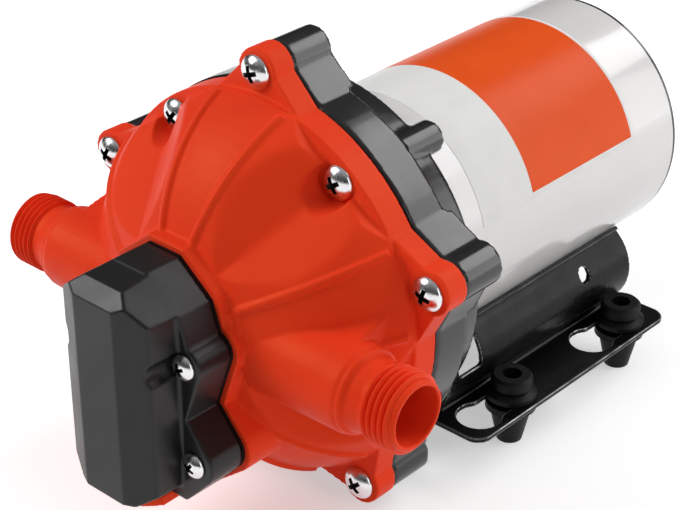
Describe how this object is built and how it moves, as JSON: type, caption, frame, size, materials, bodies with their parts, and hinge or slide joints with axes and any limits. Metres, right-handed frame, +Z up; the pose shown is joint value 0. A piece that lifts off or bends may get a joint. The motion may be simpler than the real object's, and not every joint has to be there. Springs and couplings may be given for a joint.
{
  "type": "diaphragm water pump",
  "caption": "Electric diaphragm water pump with a domed lobed head, side ports with male pipe threads, a front pressure switch, a round motor and a bracket on rubber feet.",
  "frame": {"origin": "on the floor under the feet, at the centre of the four foot holes", "axes": "+Z up, +Y along the pump axis from the head towards the motor, +X towards the outlet port"},
  "size_m": [0.1404, 0.1993, 0.1278],
  "materials": {
    "orange_plastic": "moulded glass-filled nylon, satin",
    "black_plastic": "moulded, satin grain",
    "rubber": "moulded synthetic rubber, matt",
    "screw_chrome": "plated steel, bright",
    "steel": "ground steel",
    "iron": "dark, dull",
    "wobble_aluminium": "die cast",
    "white_paint": "gloss white paint on drawn steel",
    "copper": "enamelled copper, shiny",
    "terminal_brass": "stamped brass",
    "carbon": "pressed carbon, matt",
    "card_resin": "phenolic resin, matt",
    "white_plastic": "moulded acetal, satin",
    "bracket_enamel": "gloss black enamel on pressed steel sheet"
  },
  "bodies": {
    "housing": {"pump_head": "orange_plastic", "drive_housing": "black_plastic", "valve_plate": "black_plastic", "switch_frame": "black_plastic", "rear_end_cap": "black_plastic", "switch_cover": "black_plastic", "micro_switch": "black_plastic", "inlet_valves": "rubber", "outlet_valve": "rubber", "head_seal": "rubber", "outlet_seal": "rubber", "diaphragm": "rubber", "lead_grommet": "rubber", "switch_diaphragm": "rubber", "cover_gasket": "rubber", "foot_front_left": "rubber", "foot_front_right": "rubber", "foot_rear_left": "rubber", "foot_rear_right": "rubber", "head_screws": "screw_chrome", "inner_screws": "screw_chrome", "motor_plate_screws": "screw_chrome", "cover_screws": "screw_chrome", "bracket_screws": "screw_chrome", "front_bearing_outer": "steel", "rear_bearing_outer": "steel", "brush_spring_left": "steel", "brush_spring_right": "steel", "switch_spring": "steel", "motor_front_plate": "iron", "field_magnets": "iron", "motor_can": "white_paint", "switch_terminals": "terminal_brass", "brush_card": "card_resin", "base_bracket": "bracket_enamel"},
    "rotor": {"motor_shaft": "steel", "armature_core": "iron", "armature_windings": "copper", "commutator": "copper", "eccentric_cam": "iron", "cam_set_screw": "screw_chrome", "cam_bearing_inner": "steel", "cam_bearing_balls": "steel", "front_bearing_inner": "steel", "front_bearing_balls": "steel", "rear_bearing_inner": "steel", "rear_bearing_balls": "steel"},
    "wobble": {"wobble_plate": "wobble_aluminium", "pistons": "black_plastic", "piston_screws": "screw_chrome", "cam_bearing_outer": "steel"},
    "plunger": {"switch_plunger": "white_plastic"},
    "button": {"switch_button": "white_plastic"},
    "brush_left": {"brush_left": "carbon"},
    "brush_right": {"brush_right": "carbon"}
  },
  "joints": [
    {"name": "shaft_spin", "type": "hinge", "parent": "housing", "child": "rotor", "pos_m": [0, -0.0654, 0.0615], "axis": [0, -1, 0], "continuous": true},
    {"name": "wobble_turn", "type": "hinge", "parent": "rotor", "child": "wobble", "pos_m": [0, -0.0654, 0.0615], "axis": [0, -0.9986, -0.0523], "continuous": true, "deforming": ["diaphragm"]},
    {"name": "plunger_slide", "type": "slide", "parent": "housing", "child": "plunger", "axis": [0, -1, 0], "range_m": [0, 0.0012], "stiffness_N_per_m": 200, "deforming": ["switch_spring", "switch_diaphragm"]},
    {"name": "button_slide", "type": "slide", "parent": "housing", "child": "button", "axis": [0, -1, 0], "range_m": [0, 0.0012]},
    {"name": "brush_left_slide", "type": "slide", "parent": "housing", "child": "brush_left", "axis": [-1, 0, 0], "range_m": [0, 0.002], "stiffness_N_per_m": 200, "deforming": ["brush_spring_left"]},
    {"name": "brush_right_slide", "type": "slide", "parent": "housing", "child": "brush_right", "axis": [1, 0, 0], "range_m": [0, 0.002], "stiffness_N_per_m": 200, "deforming": ["brush_spring_right"]}
  ],
  "couplings": [
    {"joint": "wobble_turn", "follows": "shaft_spin", "ratio": -1},
    {"joint": "button_slide", "follows": "plunger_slide", "ratio": 1}
  ]
}
